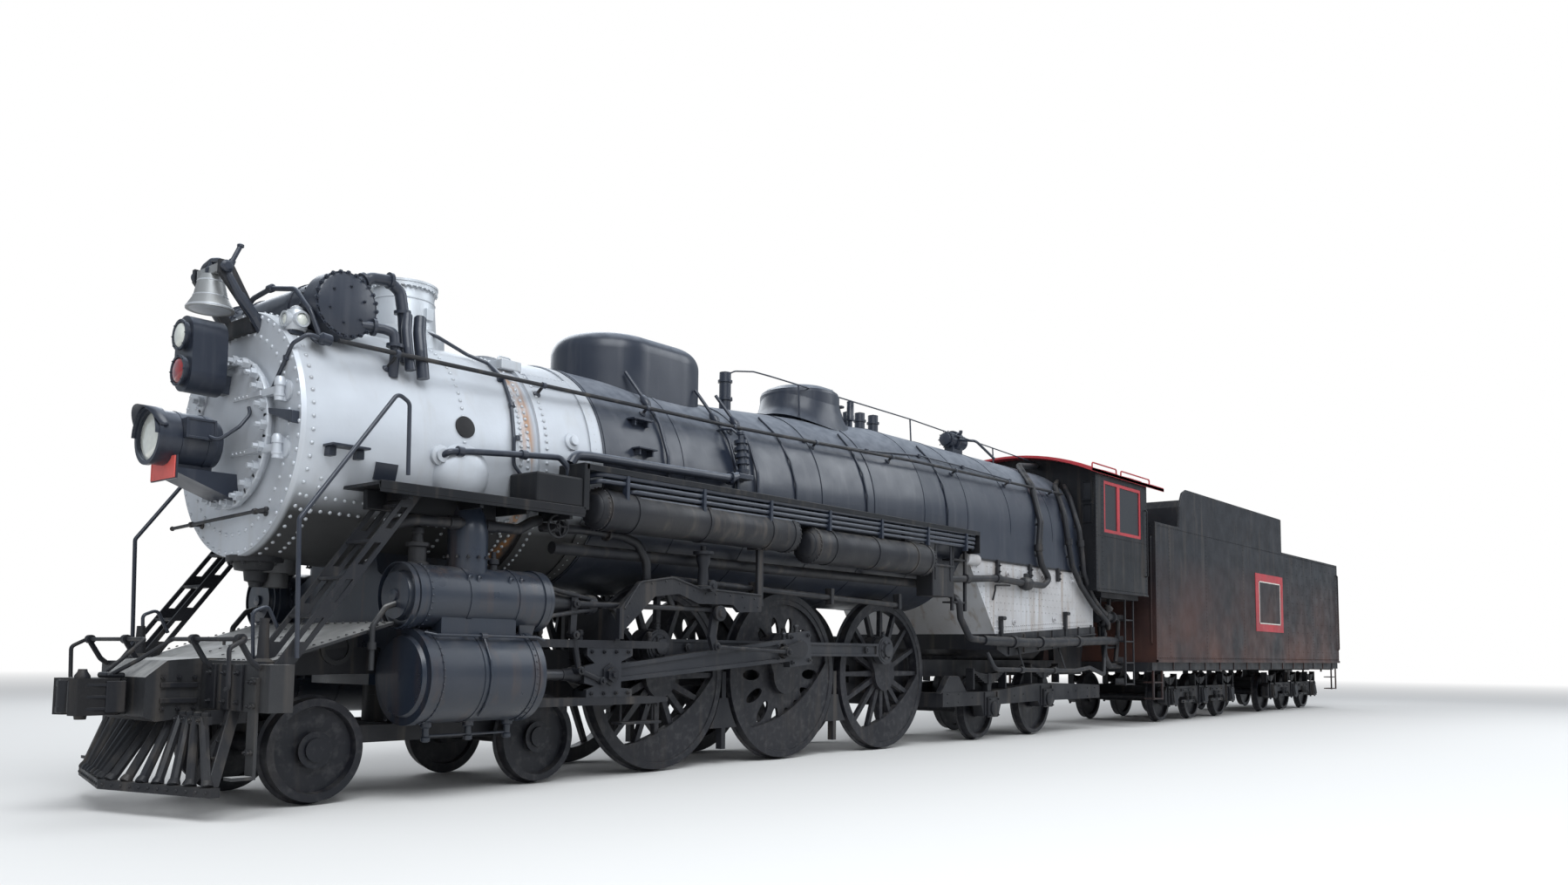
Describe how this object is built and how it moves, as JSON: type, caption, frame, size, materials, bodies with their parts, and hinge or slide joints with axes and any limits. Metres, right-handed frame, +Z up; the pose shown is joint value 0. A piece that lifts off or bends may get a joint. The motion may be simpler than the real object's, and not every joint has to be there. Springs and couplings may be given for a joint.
{
  "type": "steam locomotive",
  "caption": "Large passenger steam locomotive with a silver smokebox, spoked driving wheels, side and main rods, a red-roofed cab and a long tender on swivelling trucks.",
  "frame": {"origin": "on the track's centre line, under the main driving axle, level with the wheel flanges' lowest points, 28 mm below the rail heads", "axes": "+X forward, +Y to the engine's left, +Z up"},
  "size_m": [30.828, 3.24, 4.9449],
  "materials": {
    "black_paint": "satin",
    "frame_black": "worn",
    "silver_paint": "satin",
    "rod_steel": "dull",
    "red_paint": "satin",
    "grey_iron": "dull"
  },
  "bodies": {
    "engine": {"engine_frame": "frame_black", "cylinders": "frame_black", "smokebox": "silver_paint", "boiler": "black_paint", "firebox": "silver_paint", "ash_pan": "frame_black", "smokebox_front": "silver_paint", "bell_bracket": "black_paint", "feedwater_heater": "black_paint", "stack": "silver_paint", "sand_dome": "black_paint", "steam_dome": "black_paint", "safety_valves": "black_paint", "generator": "black_paint", "front_deck": "frame_black", "front_coupler": "grey_iron", "pilot": "frame_black", "ladders": "frame_black", "running_boards": "black_paint", "reservoirs": "black_paint", "handrails": "black_paint", "piping": "frame_black", "valve_gear": "frame_black", "brake_hangers": "frame_black", "main_rods": "rod_steel", "crossheads": "rod_steel", "crosshead_guides": "frame_black", "cab": "black_paint", "rear_deck": "frame_black", "cab_roof": "red_paint", "window_frames": "red_paint", "centre_pins": "frame_black"},
    "smokebox_door": {"smokebox_door": "silver_paint", "headlight": "black_paint", "signal_lamp": "black_paint"},
    "bell": {"bell": "silver_paint"},
    "drivers_1": {"drivers_1": "black_paint"},
    "drivers_2": {"drivers_2": "black_paint"},
    "drivers_3": {"drivers_3": "black_paint"},
    "side_rod_left": {"side_rod_left": "rod_steel"},
    "side_rod_right": {"side_rod_right": "rod_steel"},
    "lead_truck": {"lead_truck_frame": "frame_black"},
    "trailing_truck": {"trailing_truck_frame": "frame_black"},
    "lead_wheels_1": {"lead_wheels_1": "black_paint"},
    "trailing_wheels_1": {"trailing_wheels_1": "black_paint"},
    "lead_wheels_2": {"lead_wheels_2": "black_paint"},
    "trailing_wheels_2": {"trailing_wheels_2": "black_paint"},
    "tender": {"tender_frame": "frame_black", "tender_tank": "black_paint", "tender_coupler": "grey_iron"},
    "tender_hatch_lid": {"tender_hatch_lid": "black_paint"},
    "tender_truck_1": {"tender_truck_frame_1": "frame_black"},
    "tender_truck_2": {"tender_truck_frame_2": "frame_black"},
    "tender_wheels_1": {"tender_wheels_1": "black_paint"},
    "tender_wheels_2": {"tender_wheels_2": "black_paint"},
    "tender_wheels_3": {"tender_wheels_3": "black_paint"},
    "tender_wheels_4": {"tender_wheels_4": "black_paint"},
    "tender_wheels_5": {"tender_wheels_5": "black_paint"},
    "tender_wheels_6": {"tender_wheels_6": "black_paint"}
  },
  "joints": [
    {"name": "drivers_2_spin", "type": "hinge", "parent": "engine", "child": "drivers_2", "pos_m": [0, 0, 1.019], "axis": [0, 1, 0], "continuous": true},
    {"name": "drivers_1_spin", "type": "hinge", "parent": "engine", "child": "drivers_1", "pos_m": [2.134, 0, 1.019], "axis": [0, 1, 0], "continuous": true},
    {"name": "drivers_3_spin", "type": "hinge", "parent": "engine", "child": "drivers_3", "pos_m": [-2.134, 0, 1.019], "axis": [0, 1, 0], "continuous": true},
    {"name": "side_rod_left_turn", "type": "hinge", "parent": "drivers_2", "child": "side_rod_left", "pos_m": [0.16713, 0.925, 1.33333], "axis": [0, 1, 0], "continuous": true},
    {"name": "side_rod_right_turn", "type": "hinge", "parent": "drivers_2", "child": "side_rod_right", "pos_m": [0.31433, -0.925, 0.85187], "axis": [0, 1, 0], "continuous": true},
    {"name": "lead_truck_swivel", "type": "hinge", "parent": "engine", "child": "lead_truck", "pos_m": [4.909, 0, 0.617], "axis": [0, 0, 1], "range_deg": [-3, 3]},
    {"name": "trailing_truck_swivel", "type": "hinge", "parent": "engine", "child": "trailing_truck", "pos_m": [-3.25, 0, 0.64], "axis": [0, 0, 1], "range_deg": [-3, 3]},
    {"name": "lead_wheels_1_spin", "type": "hinge", "parent": "lead_truck", "child": "lead_wheels_1", "pos_m": [6.056, 0, 0.447], "axis": [0, 1, 0], "continuous": true},
    {"name": "lead_wheels_2_spin", "type": "hinge", "parent": "lead_truck", "child": "lead_wheels_2", "pos_m": [3.762, 0, 0.447], "axis": [0, 1, 0], "continuous": true},
    {"name": "trailing_wheels_1_spin", "type": "hinge", "parent": "trailing_truck", "child": "trailing_wheels_1", "pos_m": [-4.714, 0, 0.485], "axis": [0, 1, 0], "continuous": true},
    {"name": "trailing_wheels_2_spin", "type": "hinge", "parent": "trailing_truck", "child": "trailing_wheels_2", "pos_m": [-6.54, 0, 0.587], "axis": [0, 1, 0], "continuous": true},
    {"name": "smokebox_door_hinge", "type": "hinge", "parent": "engine", "child": "smokebox_door", "pos_m": [6.495, 0.8, 3.086], "axis": [0, 0, 1], "range_deg": [0, 100]},
    {"name": "bell_swing", "type": "hinge", "parent": "engine", "child": "bell", "pos_m": [6.72, 0, 4.43], "axis": [0, 1, 0], "range_deg": [-60, 60]},
    {"name": "tender_drawbar", "type": "hinge", "parent": "engine", "child": "tender", "pos_m": [-8.95, 0, 1.06], "axis": [0, 0, 1], "range_deg": [-5, 5]},
    {"name": "hatch_lid_hinge", "type": "hinge", "parent": "tender", "child": "tender_hatch_lid", "pos_m": [-21.135, 0, 3.91], "axis": [0, 1, 0], "range_deg": [-105, 0]},
    {"name": "tender_truck_1_swivel", "type": "hinge", "parent": "tender", "child": "tender_truck_1", "pos_m": [-13.7, 0, 0.8], "axis": [0, 0, 1], "range_deg": [-5, 5]},
    {"name": "tender_wheels_1_spin", "type": "hinge", "parent": "tender_truck_1", "child": "tender_wheels_1", "pos_m": [-12, 0, 0.485], "axis": [0, 1, 0], "continuous": true},
    {"name": "tender_wheels_2_spin", "type": "hinge", "parent": "tender_truck_1", "child": "tender_wheels_2", "pos_m": [-13.7, 0, 0.485], "axis": [0, 1, 0], "continuous": true},
    {"name": "tender_wheels_3_spin", "type": "hinge", "parent": "tender_truck_1", "child": "tender_wheels_3", "pos_m": [-15.4, 0, 0.485], "axis": [0, 1, 0], "continuous": true},
    {"name": "tender_truck_2_swivel", "type": "hinge", "parent": "tender", "child": "tender_truck_2", "pos_m": [-20.2, 0, 0.8], "axis": [0, 0, 1], "range_deg": [-5, 5]},
    {"name": "tender_wheels_4_spin", "type": "hinge", "parent": "tender_truck_2", "child": "tender_wheels_4", "pos_m": [-18.5, 0, 0.485], "axis": [0, 1, 0], "continuous": true},
    {"name": "tender_wheels_5_spin", "type": "hinge", "parent": "tender_truck_2", "child": "tender_wheels_5", "pos_m": [-20.2, 0, 0.485], "axis": [0, 1, 0], "continuous": true},
    {"name": "tender_wheels_6_spin", "type": "hinge", "parent": "tender_truck_2", "child": "tender_wheels_6", "pos_m": [-21.9, 0, 0.485], "axis": [0, 1, 0], "continuous": true}
  ],
  "couplings": [
    {"joint": "drivers_1_spin", "follows": "drivers_2_spin", "ratio": 1},
    {"joint": "drivers_3_spin", "follows": "drivers_2_spin", "ratio": 1},
    {"joint": "side_rod_left_turn", "follows": "drivers_2_spin", "ratio": -1},
    {"joint": "side_rod_right_turn", "follows": "drivers_2_spin", "ratio": -1}
  ]
}
